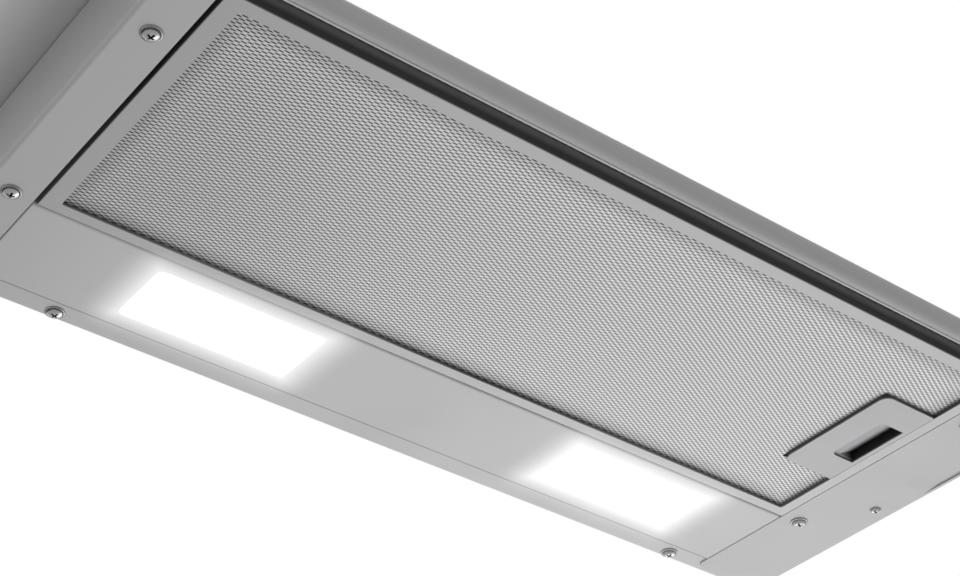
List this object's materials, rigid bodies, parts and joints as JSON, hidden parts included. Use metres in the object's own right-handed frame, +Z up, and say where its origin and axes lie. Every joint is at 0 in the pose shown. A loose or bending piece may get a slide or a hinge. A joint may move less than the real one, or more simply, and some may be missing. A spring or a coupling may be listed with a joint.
{
  "type": "slide-out under cabinet range hood",
  "caption": "Slide-out under cabinet range hood with a swing-down grease filter, flat lamps, a blower in its scroll, a duct collar with damper flaps, and a grip bar visor.",
  "frame": {"origin": "centre of the four cabinet fixing holes, on the top face of the top plate", "axes": "+X to the user's right, +Y towards the wall, +Z up out of the duct collar"},
  "size_m": [0.67, 0.2882, 0.2233],
  "materials": {
    "tray_sheet": "satin silver-grey coated sheet, faint fine grain",
    "grip_bar": "satin anodised, brushed along its length",
    "bar_ends": "satin grey moulding",
    "visor_sheet": "satin silver-grey coated sheet",
    "mesh": "expanded aluminium mesh",
    "filter_metal": "satin mill-finish aluminium",
    "backing": "layered expanded aluminium, dull",
    "zinc_steel": "galvanised or zinc-plated, dull",
    "screw_steel": "bright zinc-plated heads",
    "motor_steel": "bare motor can, dull",
    "shaft_steel": "ground bright steel",
    "scroll_plastic": "dark grey moulding, fine texture",
    "wheel_plastic": "black moulding",
    "duct_plastic": "dark grey moulding",
    "black_plastic": "black moulding",
    "control_plastic": "dark grey moulding",
    "latch_plastic": "grey moulding",
    "lens": "opal diffusing lens, lit white",
    "lamp_case": "white lamp case"
  },
  "bodies": {
    "hood": {"top_plate": "tray_sheet", "left_side_channel": "tray_sheet", "right_side_channel": "tray_sheet", "rear_channel": "tray_sheet", "light_panel": "tray_sheet", "upper_top": "zinc_steel", "upper_rear": "zinc_steel", "upper_front": "zinc_steel", "upper_cheek_left": "zinc_steel", "upper_cheek_right": "zinc_steel", "scroll_left": "scroll_plastic", "scroll_right": "scroll_plastic", "duct_collar": "duct_plastic", "damper_pin": "shaft_steel", "motor": "motor_steel", "motor_bracket": "zinc_steel", "capacitor": "motor_steel", "terminal_box": "black_plastic", "cable_gland": "black_plastic", "led_driver": "black_plastic", "led_module_left": "lamp_case", "led_module_right": "lamp_case", "led_lens_left": "lens", "led_lens_right": "lens", "rail_bracket_left": "zinc_steel", "rail_bracket_right": "zinc_steel", "rail_outer_left": "zinc_steel", "rail_outer_right": "zinc_steel", "pivot_lug": "zinc_steel", "control_fascia": "control_plastic", "switch_block": "black_plastic", "cover_screws": "screw_steel", "strip_screws": "screw_steel", "fascia_screw": "screw_steel", "housing_screws": "screw_steel", "collar_screws": "screw_steel"},
    "visor": {"front_bar": "grip_bar", "bar_cap_left": "bar_ends", "bar_cap_right": "bar_ends", "visor_frame": "visor_sheet", "visor_mesh": "mesh", "rail_inner_left": "zinc_steel", "rail_inner_right": "zinc_steel"},
    "slide_left": {"rail_middle_left": "zinc_steel"},
    "slide_right": {"rail_middle_right": "zinc_steel"},
    "filter": {"filter_frame": "filter_metal", "filter_mesh": "mesh", "filter_backing": "backing", "filter_pins": "zinc_steel", "latch_housing": "filter_metal", "latch_cover": "filter_metal"},
    "latch": {"latch_slider": "latch_plastic", "latch_spring": "zinc_steel"},
    "blower": {"blower_wheel": "wheel_plastic", "motor_shaft": "shaft_steel"},
    "damper_front": {"damper_flap_front": "duct_plastic"},
    "damper_rear": {"damper_flap_rear": "duct_plastic"},
    "light_switch": {"light_knob": "control_plastic"},
    "speed_switch": {"speed_knob": "control_plastic"}
  },
  "joints": [
    {"name": "visor_slide", "type": "slide", "parent": "hood", "child": "visor", "axis": [0, -1, 0], "range_m": [0, 0.13]},
    {"name": "slide_left_travel", "type": "slide", "parent": "hood", "child": "slide_left", "axis": [0, -1, 0], "range_m": [0, 0.065]},
    {"name": "slide_right_travel", "type": "slide", "parent": "hood", "child": "slide_right", "axis": [0, -1, 0], "range_m": [0, 0.065]},
    {"name": "filter_swing", "type": "hinge", "parent": "hood", "child": "filter", "pos_m": [-0.266, 0, -0.045], "axis": [0, 1, 0], "range_deg": [0, 85]},
    {"name": "latch_slide", "type": "slide", "parent": "filter", "child": "latch", "axis": [-1, 0, 0], "range_m": [0, 0.005], "stiffness_N_per_m": 400, "springref_m": -0.005, "deforming": ["latch_spring"]},
    {"name": "blower_spin", "type": "hinge", "parent": "hood", "child": "blower", "pos_m": [0, 0.062, 0.042], "axis": [1, 0, 0], "continuous": true},
    {"name": "damper_front_swing", "type": "hinge", "parent": "hood", "child": "damper_front", "pos_m": [0, 0.084, 0.1415], "axis": [-1, 0, 0], "range_deg": [0, 75]},
    {"name": "damper_rear_swing", "type": "hinge", "parent": "hood", "child": "damper_rear", "pos_m": [0, 0.084, 0.1415], "axis": [1, 0, 0], "range_deg": [0, 75]},
    {"name": "light_switch_slide", "type": "slide", "parent": "hood", "child": "light_switch", "axis": [0, -1, 0], "range_m": [0, 0.008]},
    {"name": "speed_switch_slide", "type": "slide", "parent": "hood", "child": "speed_switch", "axis": [0, -1, 0], "range_m": [0, 0.012]}
  ],
  "couplings": [
    {"joint": "slide_left_travel", "follows": "visor_slide", "ratio": 0.5},
    {"joint": "slide_right_travel", "follows": "visor_slide", "ratio": 0.5}
  ]
}
